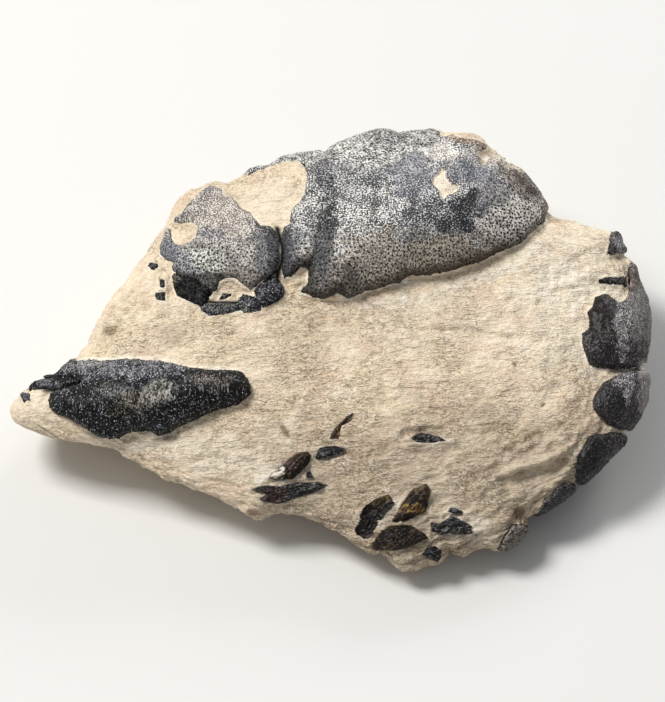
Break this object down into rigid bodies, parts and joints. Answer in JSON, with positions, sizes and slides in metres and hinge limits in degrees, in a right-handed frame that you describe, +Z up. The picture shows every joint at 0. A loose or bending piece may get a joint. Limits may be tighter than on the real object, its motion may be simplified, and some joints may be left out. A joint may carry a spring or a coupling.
{
  "type": "fossil lobster in a rock nodule",
  "caption": "Fossil lobster lying on its side in a pale rock nodule: dark pitted shield, claw, curled tail and leg joints stand proud of the rock.",
  "frame": {"origin": "centre of the bounding box in plan, on the flat underside", "axes": "+X along the nodule's length, from the claw tip to the tail; +Y towards the crest of the back; +Z up from the flat underside"},
  "size_m": [0.1291, 0.1015, 0.0421],
  "materials": {
    "rock": "pale cream fine-grained rock, dry and matt, with fine cracks and grains",
    "shield": "grey-black fossil shell, covered in small pits, worn pale in places, slightly glossy",
    "claw": "near-black granular fossil shell with small glints",
    "tail": "dark grey to purple-black fossil shell, smooth and slightly glossy",
    "leg": "dark brown glossy fossil shell with golden-brown edges"
  },
  "bodies": {
    "root": {"matrix": "rock", "carapace_front": "shield", "carapace_rear": "shield", "mouthparts": "claw", "antenna_block": "claw", "antenna_knob": "claw", "antenna_band": "claw", "antenna_chip": "claw", "cheek_oval": "claw", "cheek_bar": "claw", "cheek_plate": "claw", "claw": "claw", "claw_finger": "claw", "claw_tip": "claw", "edge_piece": "tail", "edge_bar": "tail", "abdomen_1": "tail", "abdomen_2": "tail", "abdomen_3": "tail", "abdomen_4": "tail", "tail_end": "tail", "leg_left_upper": "leg", "leg_left_lower": "leg", "leg_left_block": "leg", "leg_left_sliver": "leg", "leg_left_chip": "leg", "leg_sliver": "leg", "leg_low_left": "leg", "leg_low_right": "leg", "leg_low_base": "leg", "leg_low_joint": "leg", "leg_low_chip": "leg", "leg_low_foot": "leg"}
  },
  "joints": []
}
